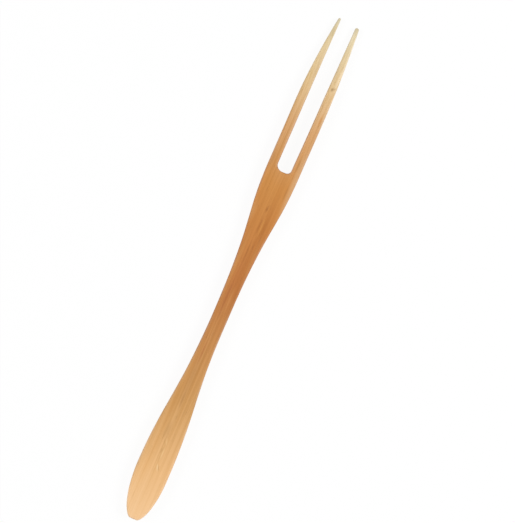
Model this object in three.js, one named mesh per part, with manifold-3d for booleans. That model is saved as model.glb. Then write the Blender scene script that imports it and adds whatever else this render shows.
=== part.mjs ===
// Two-tine bamboo fork for fruit and sweets, cut in one piece from a flat strip of bamboo.
// Millimetres, +Z up. It lies on its flat underside, butt of the handle at -Y and tine tips at +Y,
// and the origin is on that underside, at the middle of the length.

import * as THREE from "three";
import { mergeVertices } from "three/addons/utils/BufferGeometryUtils.js";
import Module from "manifold-3d";

// The strip
const forkLength = 90;
const stripThickness = 2;
const edgeRadius = 0.3; // tumbling rounds every edge this much

// The handle, placed from the butt
const buttFlat = 1.2; // width of the flat at the very end
const buttCorner = 0.6; // reach of the round beside that flat
const handleWidth = 5.8;
const handleWidestAt = 8.7;
const waistWidth = 2.7;
const waistAt = 36.5;

// The head and tines, placed from the tips
const headWidth = 5.8;
const tineLength = 27.1;
const headRise = 0.9; // the head is at full width this far above the slot's floor
const slotWidth = 2.6;
const slotCorner = 0.8; // radius of the slot's two floor corners
const slotSpread = 0.18; // how much wider the slot is at the tips
const pointLength = 15; // stretch in which a tine narrows and thins to its tip
const tipWidth = 0.66;
const tipThickness = 0.9;
const tipRadius = 0.25; // round at the very end of a tine

// How far each curve of the outline runs on before it turns, as a share of its own stretch
const noseFullness = 0.73;
const handleFullness = 0.41;
const waistBehind = 0.53;
const waistAhead = 0.65;
const headFullness = 0.39;
const pointFullness = 0.3;

// Steps along each stretch of the outline, and round each rounded edge
const noseSteps = 14;
const handleSteps = 18;
const headSteps = 18;
const pointSteps = 8;
const edgeSteps = 3;

// The slot's cutter stands this far past both faces, and this far past the tips
const cutterProud = 0.01;
const cutterOverrun = 2;

const slotFloor = forkLength - tineLength;
const pointStart = forkLength - pointLength;
const slotHalf = slotWidth / 2;
const mouthHalf = slotHalf + slotSpread / 2;
const tipOutside = mouthHalf + tipWidth;

// A rounded edge or corner takes at most this share of the wall that it lies on, so it never passes the middle.
const largestRound = 0.45;
const easing = Math.min(edgeRadius, largestRound * Math.min(stripThickness, waistWidth, buttFlat));
const tipRound = Math.min(tipRadius, largestRound * tipWidth);
const floorCorner = Math.min(slotCorner, largestRound * slotWidth);

const wasm = await Module();
wasm.setup();

// A point of the outline: half-width, and distance from the butt
const at = (halfWidth, fromButt) => new THREE.Vector2(halfWidth, fromButt);

// Smooth stretch between two places where the outline runs parallel to the fork.
function swell(from, to, leave, arrive) {
  const run = to.y - from.y;
  return new THREE.CubicBezierCurve(from, at(from.x, from.y + leave * run), at(to.x, to.y - arrive * run), to);
}

// One edge of the fork, from the middle of the butt's corner to the tip, as stations along it.
function edgeStations() {
  const butt = at(buttFlat / 2, 0);
  const belly = at(handleWidth / 2, handleWidestAt);
  const waist = at(waistWidth / 2, waistAt);
  const head = at(headWidth / 2, slotFloor + headRise);
  const point = at(headWidth / 2, pointStart);
  const tip = at(tipOutside, forkLength - tipRound);

  const nose = new THREE.CubicBezierCurve(
    butt,
    at(butt.x + buttCorner, 0),
    at(belly.x, belly.y * (1 - noseFullness)),
    belly,
  );
  const handle = swell(belly, waist, handleFullness, waistBehind);
  const neck = swell(waist, head, waistAhead, headFullness);
  const sharpening = new THREE.QuadraticBezierCurve(
    point,
    at(point.x, point.y + pointFullness * (tip.y - point.y)),
    tip,
  );
  const rounding = new THREE.EllipseCurve(tip.x - tipRound, tip.y, tipRound, tipRound, 0, Math.PI / 2);

  return [
    ...nose.getPoints(noseSteps),
    ...handle.getPoints(handleSteps).slice(1),
    ...neck.getPoints(headSteps).slice(1),
    ...sharpening.getPoints(pointSteps),
    ...rounding.getPoints(edgeSteps).slice(1),
  ];
}

// How far a rounded end of that radius has fallen away, at a distance from the end's face
function fallAway(distance, radius) {
  return distance >= radius ? 0 : radius - Math.sqrt(radius ** 2 - (radius - distance) ** 2);
}

// Cross-section of the strip with its four edges rounded
function stripSection(halfWidth) {
  const x = halfWidth - easing;
  const low = easing;
  const high = stripThickness - easing;
  const section = new THREE.Shape();
  section.absarc(x, low, easing, -Math.PI / 2, 0);
  section.absarc(x, high, easing, 0, Math.PI / 2);
  section.absarc(-x, high, easing, Math.PI / 2, Math.PI);
  section.absarc(-x, low, easing, Math.PI, 1.5 * Math.PI);
  return section;
}

// The fork before its tines are parted: the section run along the fork, and drawn in to the outline.
function waistedStrip() {
  const stations = edgeStations();
  const steps = stations.length - 1;
  const sectionHalf = handleWidth / 2;
  const strip = new THREE.ExtrudeGeometry(stripSection(sectionHalf), {
    depth: steps,
    steps,
    curveSegments: edgeSteps,
    bevelEnabled: false,
  });
  const position = strip.getAttribute("position");
  for (let i = 0; i < position.count; i++) {
    const station = stations[Math.round(position.getZ(i))];
    const side = Math.sign(position.getX(i));
    const face = Math.sign(position.getY(i) - stripThickness / 2);
    const fall = fallAway(station.y, easing) + fallAway(forkLength - station.y, tipRound);
    const across = position.getX(i) + side * (station.x - sectionHalf);
    // the section's depth becomes the length, so its width changes sides to keep the faces pointing out
    position.setXYZ(i, -across, station.y, position.getY(i) - face * fall);
  }
  return strip;
}

// The slot between the tines, with a rounded floor and rims that flare, so that the cut edges are rounded too.
function slotCutter() {
  const end = forkLength + cutterOverrun;
  const flaredHalf = mouthHalf + tipRound + cutterOverrun; // takes the inner corner off each tip
  const cornerAt = slotHalf - floorCorner;
  const slot = new THREE.Shape();
  slot.moveTo(flaredHalf, end);
  slot.lineTo(-flaredHalf, end);
  slot.lineTo(-mouthHalf, forkLength - tipRound);
  slot.lineTo(-slotHalf, pointStart);
  slot.absarc(-cornerAt, slotFloor + floorCorner, floorCorner, Math.PI, 1.5 * Math.PI);
  slot.absarc(cornerAt, slotFloor + floorCorner, floorCorner, 1.5 * Math.PI, 2 * Math.PI);
  slot.lineTo(slotHalf, pointStart);
  slot.lineTo(mouthHalf, forkLength - tipRound);

  const cutter = new THREE.ExtrudeGeometry(slot, {
    depth: stripThickness + 2 * (cutterProud - easing),
    curveSegments: 2 * edgeSteps,
    bevelThickness: easing,
    bevelSize: -easing,
    bevelOffset: easing,
    bevelSegments: edgeSteps,
  });
  return cutter.translate(0, 0, easing - cutterProud);
}

// A closed geometry as a solid that can be cut.
function solidOf(geometry) {
  const bare = geometry.clone();
  bare.deleteAttribute("normal");
  bare.deleteAttribute("uv");
  const merged = mergeVertices(bare);
  return new wasm.Manifold(
    new wasm.Mesh({
      numProp: 3,
      vertProperties: merged.getAttribute("position").array,
      triVerts: new Uint32Array(merged.index.array),
    }),
  );
}

// A cut solid as a geometry again.
function geometryOf(solid) {
  const { numProp, vertProperties, triVerts } = solid.getMesh();
  const geometry = new THREE.BufferGeometry();
  geometry.setAttribute("position", new THREE.BufferAttribute(new Float32Array(vertProperties), numProp));
  geometry.setIndex(new THREE.BufferAttribute(new Uint32Array(triVerts), 1));
  return geometry;
}

// The tines' upper faces slope down to the tips, and the underside stays flat.
function thinPoints(geometry) {
  const position = geometry.getAttribute("position");
  for (let i = 0; i < position.count; i++) {
    const along = THREE.MathUtils.clamp((position.getY(i) - pointStart) / pointLength, 0, 1);
    const share = THREE.MathUtils.lerp(1, tipThickness / stripThickness, along);
    position.setZ(i, position.getZ(i) * share);
  }
  return geometry;
}

function forkMesh() {
  const parted = solidOf(waistedStrip()).subtract(solidOf(slotCutter()));
  const geometry = thinPoints(geometryOf(parted)).toNonIndexed();
  geometry.computeVertexNormals();
  const bamboo = new THREE.MeshStandardMaterial({ color: 0xcd9759, roughness: 0.55, metalness: 0 });
  const mesh = new THREE.Mesh(geometry, bamboo);
  mesh.name = "fork";
  mesh.position.y = -forkLength / 2;
  return mesh;
}

const bambooFork = new THREE.Group();
bambooFork.add(forkMesh());

export default bambooFork;
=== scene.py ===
# Bamboo fork with two tines, lying on a white table: its finished surface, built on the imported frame.
import math

import bmesh
import bpy
import numpy as np
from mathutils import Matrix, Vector, kdtree, noise
from mathutils.geometry import interpolate_bezier


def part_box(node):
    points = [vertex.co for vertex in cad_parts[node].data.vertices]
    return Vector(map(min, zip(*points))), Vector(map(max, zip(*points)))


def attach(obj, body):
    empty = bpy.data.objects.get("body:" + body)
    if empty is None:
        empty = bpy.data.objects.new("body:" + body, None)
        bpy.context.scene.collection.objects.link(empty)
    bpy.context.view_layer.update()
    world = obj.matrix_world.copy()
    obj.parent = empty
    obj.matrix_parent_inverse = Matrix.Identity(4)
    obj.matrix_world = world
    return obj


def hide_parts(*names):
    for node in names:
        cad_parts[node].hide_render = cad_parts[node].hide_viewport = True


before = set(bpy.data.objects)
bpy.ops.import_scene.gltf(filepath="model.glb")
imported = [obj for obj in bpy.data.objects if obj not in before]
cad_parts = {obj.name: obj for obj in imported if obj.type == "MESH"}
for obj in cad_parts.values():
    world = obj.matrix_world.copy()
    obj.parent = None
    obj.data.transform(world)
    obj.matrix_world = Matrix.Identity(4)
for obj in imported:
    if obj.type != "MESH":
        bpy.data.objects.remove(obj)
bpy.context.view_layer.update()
print("frame loaded:", sorted(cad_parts))

mm = 0.001  # shapes are modelled in millimetres and brought to metres at the end
forkLow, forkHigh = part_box("fork")

# The fork in millimetres; places along it count from the butt of the handle.
# A fullness, waistBehind or waistAhead is the share of its stretch that a curve runs on before it turns.
fork = {
    "length": (forkHigh.y - forkLow.y) / mm,
    "width": (forkHigh.x - forkLow.x) / mm,
    "thickness": (forkHigh.z - forkLow.z) / mm,
    "edgeRound": 0.3,  # tumbling takes this much off every edge
    "wearReach": 0.45,  # and rubs the faces this far in
    "endGrain": (0.15, 0.65),  # faces that turn this far along the fork show dots, from none to all
    "buttFlat": 1.2,
    "buttCorner": 0.6,
    "buttSoftened": 2.0,  # the butt's corners are rubbed softer this far along
    "noseFullness": 0.73,
    "handleWidestAt": 8.7,
    "handleFullness": 0.41,
    "waistWidth": 2.74,
    "waistAt": 36.4,
    "waistBehind": 0.53,
    "waistAhead": 0.65,
    "headFullness": 0.39,
    "headRise": 0.9,  # full width this far above the slot's floor
    "buttShift": 0.18,  # it isn't quite straight, and lies this far to the right at three places
    "bellyShift": -0.07,
    "waistShift": 0.045,
    "tineLength": 27.36,
    "pointLength": 15.2,  # a tine narrows and thins to its tip in this stretch
    "pointFullness": 0.27,
    "tipRun": 5.5,  # the last stretch, which tapers at the tine's own rate
    "tipRound": 0.42,  # share of the tip's width taken by its round
    "tipThickness": 0.9,

    # two tines are never quite alike: the right one leans out and is blunter
    "leftTine": {"slotCorner": 1.2, "rootInside": 1.32, "tipInside": 1.27,
                 "tipOutside": 1.7, "tipTaper": 0.14, "tipShort": 0.0},
    "rightTine": {"slotCorner": 0.75, "rootInside": 1.24, "tipInside": 1.52,
                  "tipOutside": 2.18, "tipTaper": 0.08, "tipShort": 0.39},

    # grid that it is drawn on: columns from the middle to one edge, and rows along it
    "grid": {
        "slotColumns": 10,
        "edgeColumns": 5,  # in the round of one edge
        "tineColumns": 8,
        "spread": 8.0,  # columns draw apart into the tines over this stretch
        "noseRows": 34,
        "rowSpacing": 0.25,
        "cornerSpacing": 0.09,  # rows are closer beside the slot's floor
        "cornerReach": 1.6,
        "tipSpacing": 0.045,  # and closer still at the tips
        "tipReach": 0.35,
        "tipSqueeze": 0.35,  # depth of the very last rows, as a share of an edge's round
        "wallRows": 2,  # from the rounded edge down to mid-thickness
        "curveSteps": 80,
        "rimSpacing": 0.02,
        "softenings": 4,
        "softening": 0.5,
        "mergeDistance": 0.0001,
    },

    # relief that the fibres leave in a tumbled surface; single ones, of about 0.02, are too fine to show
    "relief": {
        "fibres": [
            {"width": 0.55, "length": 26.0, "height": 0.016},
            {"width": 0.24, "length": 9.0, "height": 0.007},
        ],
        "sink": 0.016,  # they are let in, to stay within the fork's size
        "edgeWander": 0.035,
        "wanderLength": 7.0,
        "wanderFrom": 1.0,  # the middle stays straight, and the wander is full this far out
        "wanderSlice": 0.5,  # which slice of the noise it follows
    },
}
tines = {-1: fork["leftTine"], 1: fork["rightTine"]}  # by the side that they are on
grid = fork["grid"]
relief = fork["relief"]

slotFloor = fork["length"] - fork["tineLength"]
pointStart = fork["length"] - fork["pointLength"]
halfWidth = fork["width"] / 2
perSide = grid["slotColumns"] + 2 * grid["edgeColumns"] + grid["tineColumns"]

# Depths of a quarter-round's steps, from the rim inwards
edgeDepths = [
    fork["edgeRound"] * (1 - math.cos(math.pi / 2 * k / grid["edgeColumns"]))
    for k in range(grid["edgeColumns"] + 1)
]


def lerp(start, end, share):
    return start + (end - start) * share


def clampShare(share):
    return min(max(share, 0.0), 1.0)


def smoothStep(share):
    share = clampShare(share)
    return share * share * (3 - 2 * share)


# One side of the fork as half-widths along it, round the nose and then up to where the points begin
def sideCurve():
    butt = Vector((fork["buttFlat"] / 2, 0))
    belly = Vector((halfWidth, fork["handleWidestAt"]))
    waist = Vector((fork["waistWidth"] / 2, fork["waistAt"]))
    head = Vector((halfWidth, slotFloor + fork["headRise"]))
    leaveButt = butt + Vector((fork["buttCorner"], 0))
    reachBelly = Vector((halfWidth, belly.y * (1 - fork["noseFullness"])))
    nose = interpolate_bezier(butt, leaveButt, reachBelly, belly, grid["noseRows"] + 1)

    def swell(start, end, leave, arrive):
        run = Vector((0, end.y - start.y))
        return interpolate_bezier(start, start + leave * run, end - arrive * run, end, grid["curveSteps"])

    handle = swell(belly, waist, fork["handleFullness"], fork["waistBehind"])
    neck = swell(waist, head, fork["waistAhead"], fork["headFullness"])
    return nose, nose + handle[1:] + neck[1:]


# Outside of one tine along its point, from full width to the tip
def pointCurve(side):
    start = Vector((halfWidth, pointStart))
    tip = Vector((tines[side]["tipOutside"], fork["length"]))
    leave = start + Vector((0, fork["pointFullness"] * fork["pointLength"]))
    arrive = tip + Vector((tines[side]["tipTaper"], -1)) * fork["tipRun"]
    points = interpolate_bezier(start, leave, arrive, tip, grid["curveSteps"])
    return [p.y for p in points], [p.x for p in points]


nosePoints, sidePoints = sideCurve()
sideAlong = [p.y for p in sidePoints]
sideHalf = [p.x for p in sidePoints]
pointCurves = {side: pointCurve(side) for side in tines}
shiftPlaces = [0, fork["handleWidestAt"], fork["waistAt"], slotFloor]
shifts = [fork["buttShift"], fork["bellyShift"], fork["waistShift"], 0]


def outsideAt(along, side):
    if along <= pointStart:
        return float(np.interp(along, sideAlong, sideHalf))
    return float(np.interp(along, *pointCurves[side]))


def insideAt(along, side):
    share = clampShare((along - slotFloor) / fork["tineLength"])
    return lerp(tines[side]["rootInside"], tines[side]["tipInside"], share)


# Rows along the fork, closer together at the butt, the slot's floor and the tips
def rowPlaces():
    def evenly(start, end, spacing):
        count = max(1, round((end - start) / spacing))
        return [lerp(start, end, k / count) for k in range(count)]

    cornerEnd = slotFloor + grid["cornerReach"]
    tipStart = fork["length"] - grid["tipReach"]
    tipDepths = [depth * grid["tipSqueeze"] for depth in edgeDepths]
    rows = [p.y for p in nosePoints[:-1]]
    rows += evenly(fork["handleWidestAt"], slotFloor - fork["edgeRound"], grid["rowSpacing"])
    rows += [slotFloor - depth for depth in reversed(edgeDepths[1:])]
    floorRow = len(rows)
    rows += evenly(slotFloor, cornerEnd, grid["cornerSpacing"])
    rows += evenly(cornerEnd, tipStart, grid["rowSpacing"])
    rows += evenly(tipStart, fork["length"] - tipDepths[-1], grid["tipSpacing"])
    rows += [fork["length"] - depth for depth in reversed(tipDepths)]
    return rows, floorRow


rowAlong, floorRow = rowPlaces()


# Distance of a column from the middle, where the fork is whole
def acrossHandle(column, outside):
    fromEdge = perSide - column
    if fromEdge <= grid["edgeColumns"]:
        return outside - edgeDepths[fromEdge]
    return (outside - fork["edgeRound"]) * column / (perSide - grid["edgeColumns"])


# And where it is parted: a tine's edges are drawn finer as it narrows
def acrossTine(column, inside, outside, rootWidth):
    squeeze = min(1.0, (outside - inside) / rootWidth)
    rim = fork["edgeRound"] * squeeze
    fromSlot = column - grid["slotColumns"]
    fromEdge = perSide - column
    if fromSlot <= 0:
        return inside * column / grid["slotColumns"]
    if fromSlot <= grid["edgeColumns"]:
        return inside + edgeDepths[fromSlot] * squeeze
    if fromEdge <= grid["edgeColumns"]:
        return outside - edgeDepths[fromEdge] * squeeze
    share = (fromSlot - grid["edgeColumns"]) / grid["tineColumns"]
    return lerp(inside + rim, outside - rim, share)


def columnAcross(column, along, side):
    inside = insideAt(along, side)
    outside = outsideAt(along, side)
    rootWidth = halfWidth - tines[side]["rootInside"]
    spreadStart = slotFloor - fork["edgeRound"] - grid["spread"]
    parted = smoothStep((along - spreadStart) / grid["spread"])
    return lerp(acrossHandle(column, outside), acrossTine(column, inside, outside, rootWidth), parted)


# The slot's square floor corner drawn in to its round, fading out in the wood around it
def roundSlotCorner(across, along, side):
    radius = tines[side]["slotCorner"]
    centreAcross = tines[side]["rootInside"] - radius
    centreAlong = slotFloor + radius
    out = across - centreAcross
    down = centreAlong - along
    if out <= 0 or down <= 0:
        return across, along
    reach = math.hypot(out, down)
    square = radius * reach / max(out, down)
    moved = reach - (square - radius) * (1 - smoothStep((reach - square) / grid["cornerReach"]))
    return centreAcross + out * moved / reach, centreAlong - down * moved / reach


# The square corners at the end of a tine drawn in to their rounds
def roundTip(across, along, side):
    inside = insideAt(along, side)
    outside = outsideAt(along, side)
    radius = fork["tipRound"] * (outside - inside)
    centreAlong = fork["length"] - radius
    up = along - centreAlong
    for wall, way in ((inside, -1), (outside, 1)):
        centreAcross = wall - way * radius
        out = way * (across - centreAcross)
        if up > 0 and out > 0:
            share = max(out, up) / math.hypot(out, up)
            return centreAcross + way * out * share, centreAlong + up * share
    return across, along


# Where this fork has a point of the grid
def gridPoint(column, along, side):
    across, placed = roundSlotCorner(columnAcross(column, along, side), along, side)
    across, placed = roundTip(across, placed, side)
    shift = float(np.interp(along, shiftPlaces, shifts))
    wander = noise.noise((side / 2, along / relief["wanderLength"], relief["wanderSlice"]))
    wander *= relief["edgeWander"] * smoothStep(across / relief["wanderFrom"])
    short = tines[side]["tipShort"] * max(placed - slotFloor, 0.0) / fork["tineLength"]
    return side * across + shift + wander, placed - short


# The upper face, a grid without the faces that lie in the slot
def drawFace(bm):
    rows = len(rowAlong) - 1
    bmesh.ops.create_grid(bm, x_segments=2 * perSide, y_segments=rows, size=1)
    slotFaces = []
    for face in bm.faces:
        centre = face.calc_center_median()
        inSlot = abs(centre.x) * perSide < grid["slotColumns"]
        if inSlot and (centre.y + 1) / 2 * rows > floorRow:
            slotFaces.append(face)
    bmesh.ops.delete(bm, geom=slotFaces, context="FACES")
    for v in bm.verts:
        side = -1 if v.co.x < 0 else 1
        column = round(abs(v.co.x) * perSide)
        along = rowAlong[round((v.co.y + 1) / 2 * rows)]
        v.co = (*gridPoint(column, along, side), fork["thickness"])
    print("upper face drawn:", len(bm.verts), "points")


# Every edge is rounded by how far each point lies from the cut rim, and its wear is noted
def roundEdges(bm, rimEdges, wear):
    rimPoints = []
    for e in rimEdges:
        a, b = (v.co for v in e.verts)
        count = int(e.calc_length() / grid["rimSpacing"]) + 1
        rimPoints += [a.lerp(b, k / count) for k in range(count)]
    rim = kdtree.KDTree(len(rimPoints))
    for point in rimPoints:
        rim.insert(point, 0)
    rim.balance()
    for v in bm.verts:
        depth = rim.find(v.co)[2]
        rounded = clampShare(1 - depth / fork["edgeRound"])
        v[wear] = smoothStep(1 - depth / fork["wearReach"])
        v.co.z -= fork["edgeRound"] * (1 - math.sqrt(1 - rounded * rounded))
    softened = [v for v in bm.verts if v.co.y < fork["buttSoftened"] and not v.is_boundary]
    for _ in range(grid["softenings"]):
        bmesh.ops.smooth_vert(bm, verts=softened, factor=grid["softening"], use_axis_z=True)
    print("edges rounded")


# Walls go down to mid-thickness, and the lower half is a mirror of the upper
def closeBody(bm, rimEdges, wear):
    top = fork["thickness"]
    for k in range(grid["wallRows"]):
        made = bmesh.ops.extrude_edge_only(bm, edges=rimEdges)["geom"]
        rimEdges = [g for g in made if isinstance(g, bmesh.types.BMEdge) and g.is_boundary]
        share = (k + 1) / grid["wallRows"]
        for v in {v for e in rimEdges for v in e.verts}:
            v.co.z = lerp(top - fork["edgeRound"], top / 2, share)
            v[wear] = 1 - share
    bmesh.ops.translate(bm, verts=bm.verts, vec=(0, 0, -top / 2))
    upperHalf = bm.verts[:] + bm.edges[:] + bm.faces[:]
    bmesh.ops.mirror(bm, geom=upperHalf, axis="Z", merge_dist=grid["mergeDistance"])
    bmesh.ops.translate(bm, verts=bm.verts, vec=(0, 0, top / 2))
    bmesh.ops.recalc_face_normals(bm, faces=bm.faces)
    print("walls and underside closed")


# The points slope down to the tips from above, fibres stand out of the faces, and cut ends are noted
def shapeFaces(bm, endGrain):
    for v in bm.verts:
        share = clampShare((v.co.y - pointStart) / fork["pointLength"])
        v.co.z *= lerp(1, fork["tipThickness"] / fork["thickness"], share)
    bm.normal_update()
    start, full = fork["endGrain"]
    for v in bm.verts:
        x, y, z = v.co
        lift = -relief["sink"]
        for fibre in relief["fibres"]:
            place = (x / fibre["width"], y / fibre["length"], z / fibre["width"])
            lift += fibre["height"] * noise.noise(place)
        v.co += v.normal * lift
        v[endGrain] = smoothStep((abs(v.normal.y) - start) / (full - start))
    for face in bm.faces:
        face.smooth = True
    print("points sloped and fibres raised")


# Extruding leaves the walls in any order, so they are put in the same one for each run
def sortParts(parts, place):
    for index, part in enumerate(sorted(parts, key=place)):
        part.index = index
    parts.sort()


def makeFork():
    bm = bmesh.new()
    wear = bm.verts.layers.float.new("wear")
    endGrain = bm.verts.layers.float.new("endGrain")
    drawFace(bm)
    rimEdges = [e for e in bm.edges if e.is_boundary]
    roundEdges(bm, rimEdges, wear)
    closeBody(bm, rimEdges, wear)
    shapeFaces(bm, endGrain)
    sortParts(bm.verts, lambda v: v.co[:])
    sortParts(bm.faces, lambda face: face.calc_center_median()[:])
    bmesh.ops.translate(bm, verts=bm.verts, vec=(0, -fork["length"] / 2, 0))
    bmesh.ops.scale(bm, verts=bm.verts, vec=(mm, mm, mm))
    mesh = bpy.data.meshes.new("bamboo_fork")
    bm.to_mesh(mesh)
    bm.free()
    piece = bpy.data.objects.new("bamboo_fork", mesh)
    bpy.context.scene.collection.objects.link(piece)
    print("fork modelled:", len(mesh.polygons), "faces")
    return piece


# Steamed split bamboo, cut along the grain, tumbled and left bare: straight fibre lines that run out at
# the waist, dots where it is cut across, paler rubbed edges and a dry, low gloss. Sizes are in millimetres,
# and the finest lines are drawn coarser than single fibres, so that they show.
bamboo = {
    "tones": {  # by the distance from the butt
        0: "f4c896", 9: "eab980", 21: "cf9b5d", 42: "bb7536", 52: "c27d38",
        60: "cb8a42", 70: "d4a26d", 79: "e4c799", 88: "e1d0aa", 90: "cbbf9f",
    },
    "detail": 2.0,  # octaves in the noise of the patterns
    "drift": {"width": 2.2, "length": 40.0, "reach": 1.8},  # tones move this far, from fibre to fibre
    "grip": {"until": 20.0, "streaks": 0.3},  # handled most, so rubbed smooth, and streaks are fainter
    "bundles": {"width": 0.5, "length": 90.0, "crowded": 0.5, "sparse": 0.26, "soft": 0.2,
                "tint": "f6f3e9", "height": 0.003, "dots": (0.1, 0.26), "dotTint": "d6bb96"},
    "grain": [  # streaks, fibres and pores; a mask runs from its first level to its second
        {"width": 0.75, "length": 30.0, "mask": (0.42, 0.7), "tint": "f8f2e4", "depth": 0.0},
        {"width": 0.17, "length": 13.0, "mask": (0.45, 0.72), "tint": "f3efe2", "depth": 0.006},
        {"width": 0.15, "length": 3.2, "mask": (0.66, 0.76), "tint": "e3dac4", "depth": 0.012},
    ],
    "marks": [  # this fork's own: middle and half-size, across and along, and turn in degrees
        # a pale scratch on the handle, with painted shade along its side as if it were cut in
        {"at": (0.45, 9.5), "size": (0.19, 0.9), "turn": 20, "tone": "f6d6a4", "strength": 0.65},
        {"at": (0.33, 11.9), "size": (0.2, 1.8), "tone": "f0c890", "strength": 0.6},
        {"at": (0.22, 13.9), "size": (0.2, 0.9), "turn": 12, "tone": "ebc188", "strength": 0.6},
        {"at": (0.72, 9.4), "size": (0.18, 0.9), "turn": 20, "tone": "b98a50", "strength": 0.5},
        # dark fibres beside it, painted shade along the left edge, which turns away from the light, and
        # stains further on
        {"at": (0.0, 12.4), "size": (0.2, 0.8), "tone": "b4864b", "strength": 0.5},
        {"at": (-0.14, 13.9), "size": (0.16, 0.8), "turn": 12, "tone": "b98a50", "strength": 0.45},
        {"at": (-2.8, 9.4), "size": (0.5, 4.5), "tone": "c49a62", "strength": 0.4},
        {"at": (-0.5, 16.0), "size": (0.6, 2.2), "tone": "b98a50", "strength": 0.45},
        {"at": (-0.2, 21.5), "size": (0.3, 2.4), "tone": "ab7840", "strength": 0.6},
        # the waist: dark fibres near the middle, paler wood at the sides
        {"at": (-0.3, 25.4), "size": (0.7, 6.0), "tone": "b07c42", "strength": 0.45},
        {"at": (-1.4, 26.9), "size": (0.5, 7.0), "tone": "d8a565", "strength": 0.4},
        {"at": (-0.3, 30.1), "size": (0.32, 3.0), "tone": "ac6830", "strength": 0.6},
        {"at": (-0.3, 39.7), "size": (0.4, 5.0), "tone": "a25c26", "strength": 0.6},
        {"at": (0.36, 39.5), "size": (0.25, 3.4), "tone": "cf9052", "strength": 0.45},
        {"at": (-1.15, 44.9), "size": (0.55, 11.0), "tone": "cf9450", "strength": 0.45},
        {"at": (1.1, 47.4), "size": (0.4, 6.5), "tone": "cb8d4b", "strength": 0.4},
        {"at": (-0.1, 44.4), "size": (0.5, 6.0), "tone": "ac6228", "strength": 0.35},
        # the neck: single dark fibres, and a pale one between them
        {"at": (-0.15, 48.1), "size": (0.25, 3.0), "tone": "9e5e20", "strength": 0.6},
        {"at": (0.0, 52.8), "size": (0.2, 2.4), "tone": "9c5a12", "strength": 0.65},
        {"at": (0.02, 55.9), "size": (0.28, 0.75), "tone": "965810", "strength": 0.6},
        {"at": (0.4, 52.7), "size": (0.2, 2.6), "tone": "d89848", "strength": 0.45},
        {"at": (0.8, 52.7), "size": (0.25, 3.2), "tone": "a66318", "strength": 0.6},
        # paler wood at both sides of the head, and dark fibres at the roots of the tines
        {"at": (-2.05, 54.6), "size": (0.7, 3.4), "tone": "d8a468", "strength": 0.3},
        {"at": (2.5, 61.7), "size": (0.75, 10.0), "tone": "d6b083", "strength": 0.45},
        {"at": (1.85, 59.5), "size": (0.25, 2.4), "tone": "a36c34", "strength": 0.5},
        {"at": (1.95, 64.8), "size": (0.25, 2.0), "tone": "a8783f", "strength": 0.7},
        {"at": (-2.4, 64.2), "size": (0.4, 3.0), "tone": "ad783f", "strength": 0.5},
        # painted shade on the right tine's inner half and a painted highlight on its outer half, as the
        # light falls from the right; the left tine is darker beside the slot too
        {"at": (-1.6, 80.5), "size": (0.5, 5.0), "tone": "c8a878", "strength": 0.65},
        {"at": (1.7, 81.0), "size": (0.4, 3.8), "tone": "c2a676", "strength": 0.5},
        {"at": (2.4, 80.6), "size": (0.45, 3.6), "tone": "f4dcb8", "strength": 0.7},
        # the right tine's stain, and its speck with a smear
        {"at": (2.35, 72.8), "size": (0.35, 1.6), "tone": "c88a48", "strength": 0.7},
        {"at": (2.06, 78.4), "size": (0.36, 0.5), "tone": "8f7044", "strength": 0.75},
        {"at": (2.36, 78.6), "size": (0.5, 0.35), "turn": 23, "tone": "b08c58", "strength": 0.55},
        # the left tip is stained, and the right one pale
        {"at": (-1.65, 87.6), "size": (0.5, 2.2), "tone": "b09a66", "strength": 0.75},
        {"at": (1.9, 87.4), "size": (0.9, 3.6), "tone": "f2e6c8", "strength": 0.5},
    ],
    "wear": {"width": 0.9, "length": 6.0, "detail": 3.0, "mask": (0.38, 0.62), "strength": 0.8,
             "saturation": 0.84, "value": 1.07},  # rubbed edges are paler and greyer, in patches
    "roughness": (0.48, 0.62),
    "ior": 1.45,
}

# Settings of the nodes that lay a tint or a tone over the rest, and that let a mask fade
tinting = {"data_type": "RGBA", "blend_type": "MULTIPLY"}
covering = {"data_type": "RGBA", "blend_type": "MIX"}
softly = {"interpolation_type": "SMOOTHSTEP"}


def hexToLinear(code):
    channels = [int(code[i:i + 2], 16) / 255 for i in (0, 2, 4)]
    linear = [c / 12.92 if c <= 0.04045 else ((c + 0.055) / 1.055) ** 2.4 for c in channels]
    return (*linear, 1.0)


# Adds a node with its settings and links; a link called i6 goes to the socket of that number
def addNode(tree, kind, settings=None, **links):
    node = tree.nodes.new(kind)
    for name, value in (settings or {}).items():
        if name == "stops":
            while len(node.color_ramp.elements) < len(value):
                node.color_ramp.elements.new(1.0)
            for element, (position, colour) in zip(node.color_ramp.elements, value):
                element.position = position
                element.color = colour
        else:
            setattr(node, name, value)
    for name, value in links.items():
        numbered = name[0] == "i" and name[1:].isdigit()
        socket = node.inputs[int(name[1:]) if numbered else name.replace("_", " ")]
        if isinstance(value, bpy.types.NodeSocket):
            tree.links.new(value, socket)
        else:
            socket.default_value = value
    return node


# Scale of a pattern that is this wide and long; the texture's own scale is then 1
def perGrain(pattern):
    return (1 / (pattern["width"] * mm), 1 / (pattern["length"] * mm), 1 / (pattern["width"] * mm))


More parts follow.
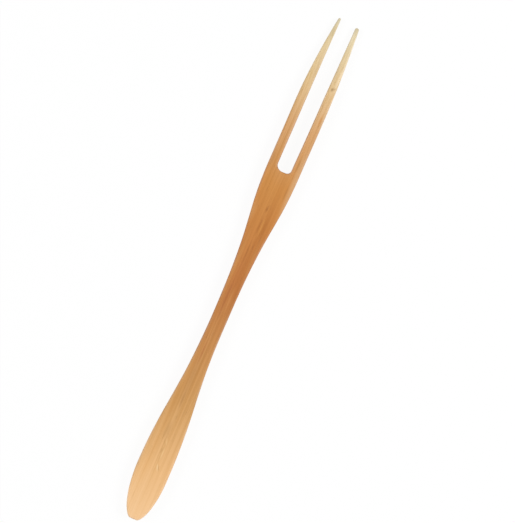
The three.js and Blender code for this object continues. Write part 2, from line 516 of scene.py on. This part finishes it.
# Tone along the fork, drifting from fibre to fibre
def bambooTone(tree, place, axes):
    drift = bamboo["drift"]
    fibres = addNode(tree, "ShaderNodeMapping", Vector=place, Scale=perGrain(drift))
    fibres = addNode(tree, "ShaderNodeTexNoise", Vector=fibres.outputs[0],
                     Scale=1.0, Detail=bamboo["detail"]).outputs["Fac"]
    moved = addNode(tree, "ShaderNodeMapRange", Value=fibres,
                    To_Min=-drift["reach"] * mm, To_Max=drift["reach"] * mm)
    along = addNode(tree, "ShaderNodeMath", {"operation": "ADD"}, i0=axes["Y"], i1=moved.outputs[0])
    share = addNode(tree, "ShaderNodeMapRange", Value=along.outputs[0],
                    From_Min=forkLow.y, From_Max=forkHigh.y)
    stops = [(at / fork["length"], hexToLinear(code)) for at, code in bamboo["tones"].items()]
    colour = addNode(tree, "ShaderNodeValToRGB", {"stops": stops}, Fac=share.outputs[0]).outputs["Color"]
    return colour, fibres


# How much streaks show: less where the fork is gripped
def streakShare(tree, axes):
    grip = bamboo["grip"]
    return addNode(tree, "ShaderNodeMapRange", softly, Value=axes["Y"], From_Min=forkLow.y,
                   From_Max=forkLow.y + grip["until"] * mm, To_Min=grip["streaks"]).outputs[0]


# Fibre bundles, crowded at the upper face, which was nearer the skin, and sparse at the pith side
def bambooBundles(tree, place, axes, streaks, colour):
    bundles = bamboo["bundles"]
    cells = addNode(tree, "ShaderNodeMapping", Vector=place, Scale=perGrain(bundles))
    cells = addNode(tree, "ShaderNodeTexVoronoi", Vector=cells.outputs[0], Scale=1.0)
    radius = addNode(tree, "ShaderNodeMapRange", Value=axes["Z"], From_Min=forkLow.z, From_Max=forkHigh.z,
                     To_Min=bundles["sparse"], To_Max=bundles["crowded"])
    within = addNode(tree, "ShaderNodeMath", {"operation": "SUBTRACT"}, i0=radius.outputs[0],
                     i1=cells.outputs["Distance"])
    bundle = addNode(tree, "ShaderNodeMapRange", softly, Value=within.outputs[0],
                     From_Min=-bundles["soft"], From_Max=bundles["soft"])
    amount = addNode(tree, "ShaderNodeMath", {"operation": "MULTIPLY"}, i0=bundle.outputs[0], i1=streaks)
    colour = addNode(tree, "ShaderNodeMix", tinting, i0=amount.outputs[0], i6=colour,
                     i7=hexToLinear(bundles["tint"])).outputs[2]
    height = addNode(tree, "ShaderNodeMath", {"operation": "MULTIPLY"}, i0=bundle.outputs[0],
                     i1=bundles["height"]).outputs[0]

    # cut across, they are darker dots
    endGrain = addNode(tree, "ShaderNodeAttribute", {"attribute_name": "endGrain"})
    dots = addNode(tree, "ShaderNodeMapRange", softly, Value=within.outputs[0],
                   From_Min=bundles["dots"][0], From_Max=bundles["dots"][1])
    dots = addNode(tree, "ShaderNodeMath", {"operation": "MULTIPLY"}, i0=dots.outputs[0],
                   i1=endGrain.outputs["Fac"])
    colour = addNode(tree, "ShaderNodeMix", tinting, i0=dots.outputs[0], i6=colour,
                     i7=hexToLinear(bundles["dotTint"])).outputs[2]
    return colour, height


# Streaks, fibres and pores tint it further, and the pores lie lowest
def bambooGrain(tree, place, streaks, colour, height):
    for pattern in bamboo["grain"]:
        lines = addNode(tree, "ShaderNodeMapping", Vector=place, Scale=perGrain(pattern))
        lines = addNode(tree, "ShaderNodeTexNoise", Vector=lines.outputs[0],
                        Scale=1.0, Detail=bamboo["detail"])
        mask = addNode(tree, "ShaderNodeMapRange", softly, Value=lines.outputs["Fac"],
                       From_Min=pattern["mask"][0], From_Max=pattern["mask"][1])
        amount = addNode(tree, "ShaderNodeMath", {"operation": "MULTIPLY"}, i0=mask.outputs[0], i1=streaks)
        colour = addNode(tree, "ShaderNodeMix", tinting, i0=amount.outputs[0], i6=colour,
                         i7=hexToLinear(pattern["tint"])).outputs[2]
        height = addNode(tree, "ShaderNodeMath", {"operation": "MULTIPLY_ADD"}, i0=mask.outputs[0],
                         i1=-pattern["depth"], i2=height).outputs[0]
    return colour, height


# Each mark fades out from its middle, and stays on the upper part of the fork
def bambooMarks(tree, place, colour):
    for mark in bamboo["marks"]:
        across, along = mark["at"]
        centre = Vector((across, along - fork["length"] / 2, fork["thickness"])) * mm
        spot = addNode(tree, "ShaderNodeMapping", {"vector_type": "TEXTURE"}, Vector=place, Location=centre,
                       Rotation=(0, 0, math.radians(mark.get("turn", 0))),
                       Scale=Vector((*mark["size"], fork["thickness"])) * mm)
        spot = addNode(tree, "ShaderNodeTexGradient", {"gradient_type": "SPHERICAL"},
                       Vector=spot.outputs[0])
        amount = addNode(tree, "ShaderNodeMapRange", softly, Value=spot.outputs["Fac"],
                         To_Max=mark["strength"])
        colour = addNode(tree, "ShaderNodeMix", covering, i0=amount.outputs[0], i6=colour,
                         i7=hexToLinear(mark["tone"])).outputs[2]
    return colour


def bambooWear(tree, place, colour):
    wear = bamboo["wear"]
    rubbed = addNode(tree, "ShaderNodeAttribute", {"attribute_name": "wear"})
    patches = addNode(tree, "ShaderNodeMapping", Vector=place, Scale=perGrain(wear))
    patches = addNode(tree, "ShaderNodeTexNoise", Vector=patches.outputs[0],
                      Scale=1.0, Detail=wear["detail"])
    patches = addNode(tree, "ShaderNodeMapRange", softly, Value=patches.outputs["Fac"],
                      From_Min=wear["mask"][0], From_Max=wear["mask"][1], To_Max=wear["strength"])
    amount = addNode(tree, "ShaderNodeMath", {"operation": "MULTIPLY"}, i0=rubbed.outputs["Fac"],
                     i1=patches.outputs[0])
    return addNode(tree, "ShaderNodeHueSaturation", Saturation=wear["saturation"], Value=wear["value"],
                   Fac=amount.outputs[0], Color=colour).outputs[0]


def bambooMaterial():
    material = bpy.data.materials.new("steamed_bamboo")
    material.use_nodes = True
    tree = material.node_tree
    tree.nodes.clear()
    place = addNode(tree, "ShaderNodeTexCoord").outputs["Object"]
    axes = addNode(tree, "ShaderNodeSeparateXYZ", Vector=place).outputs
    streaks = streakShare(tree, axes)
    colour, fibres = bambooTone(tree, place, axes)
    colour, height = bambooBundles(tree, place, axes, streaks, colour)
    colour, height = bambooGrain(tree, place, streaks, colour, height)
    colour = bambooMarks(tree, place, colour)
    colour = bambooWear(tree, place, colour)
    bump = addNode(tree, "ShaderNodeBump", Distance=mm, Height=height)
    roughness = addNode(tree, "ShaderNodeMapRange", Value=fibres,
                        To_Min=bamboo["roughness"][0], To_Max=bamboo["roughness"][1])
    shader = addNode(tree, "ShaderNodeBsdfPrincipled", Base_Color=colour, Roughness=roughness.outputs[0],
                     IOR=bamboo["ior"], Normal=bump.outputs[0])
    addNode(tree, "ShaderNodeOutputMaterial", Surface=shader.outputs[0])
    return material


forkPiece = makeFork()
forkPiece.data.materials.append(bambooMaterial())
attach(forkPiece, "root")
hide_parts("fork")
print("fork finished in bamboo")

# Where the photograph has the fork: leaning to the right, a little left of and below the middle
shot = {
    "lean": 23.52,
    "centre": (2.07, 2.374),  # millimetres from the fork's middle
    "heightShown": 86.71,
    "lens": 100.0,
    "sensor": 36.0,
    "clipStart": 0.01,
}


def makeCamera():
    data = bpy.data.cameras.new("camera")
    data.lens = shot["lens"]
    data.sensor_width = shot["sensor"]
    data.clip_start = shot["clipStart"]
    camera = bpy.data.objects.new("camera", data)
    distance = shot["heightShown"] * shot["lens"] / shot["sensor"]
    rimHeight = fork["thickness"] - fork["edgeRound"]
    camera.location = Vector((*shot["centre"], rimHeight + distance)) * mm
    camera.rotation_euler = (0, 0, math.radians(shot["lean"]))
    bpy.context.scene.collection.objects.link(camera)
    bpy.context.scene.camera = camera


# A white table in a white room, with a little more light from the right of the picture than from the left
studio = {
    "white": (1.0, 1.0, 1.0, 1.0),
    "whiteStrength": 1.0,
    "room": 0.4,  # light from all round
    "floorSize": 3.0,
    "floorPaint": "fbfbfb",
    "shadow": 0.07,  # how much of the floor's shading the camera sees
    "lamps": [
        {"name": "key", "place": (0.42, 0.16, 0.42), "size": 0.3, "power": 2.2},
        {"name": "fill", "place": (-0.42, -0.12, 0.42), "size": 0.3, "power": 1.35},
    ],
}


# 1 where the camera, a reflection or a see-through surface looks at it, and 0 where it only gives light
def seenDirectly(tree):
    path = addNode(tree, "ShaderNodeLightPath").outputs
    seen = path["Is Camera Ray"]
    for ray in ("Is Glossy Ray", "Is Transmission Ray"):
        seen = addNode(tree, "ShaderNodeMath", {"operation": "MAXIMUM"}, i0=seen, i1=path[ray]).outputs[0]
    return seen


def makeFloor():
    bm = bmesh.new()
    bmesh.ops.create_grid(bm, x_segments=1, y_segments=1, size=studio["floorSize"] / 2)
    mesh = bpy.data.meshes.new("floor")
    bm.to_mesh(mesh)
    bm.free()
    floor = bpy.data.objects.new("floor", mesh)
    bpy.context.scene.collection.objects.link(floor)
    material = bpy.data.materials.new("white_table")
    material.use_nodes = True
    tree = material.node_tree
    tree.nodes.clear()
    paint = addNode(tree, "ShaderNodeBsdfDiffuse", Color=hexToLinear(studio["floorPaint"]))
    glow = addNode(tree, "ShaderNodeEmission", Color=studio["white"], Strength=studio["whiteStrength"])
    amount = addNode(tree, "ShaderNodeMath", {"operation": "MULTIPLY"}, i0=seenDirectly(tree),
                     i1=1 - studio["shadow"])
    mix = addNode(tree, "ShaderNodeMixShader", i0=amount.outputs[0], i1=paint.outputs[0],
                  i2=glow.outputs[0])
    addNode(tree, "ShaderNodeOutputMaterial", Surface=mix.outputs[0])
    mesh.materials.append(material)


def makeLight():
    world = bpy.data.worlds.new("white_room")
    bpy.context.scene.world = world
    world.use_nodes = True
    tree = world.node_tree
    tree.nodes.clear()
    strength = addNode(tree, "ShaderNodeMapRange", Value=seenDirectly(tree),
                       To_Min=studio["room"], To_Max=studio["whiteStrength"])
    back = addNode(tree, "ShaderNodeBackground", Color=studio["white"], Strength=strength.outputs[0])
    addNode(tree, "ShaderNodeOutputWorld", Surface=back.outputs[0])
    for lamp in studio["lamps"]:
        data = bpy.data.lights.new(lamp["name"], "AREA")
        data.shape = "DISK"
        data.size = lamp["size"]
        data.energy = lamp["power"]
        light = bpy.data.objects.new(lamp["name"], data)
        light.location = lamp["place"]
        light.rotation_euler = (-light.location).to_track_quat("-Z", "Y").to_euler()
        bpy.context.scene.collection.objects.link(light)
    bpy.context.scene.view_settings.view_transform = "Standard"


makeCamera()
makeFloor()
makeLight()
print("camera and studio ready")
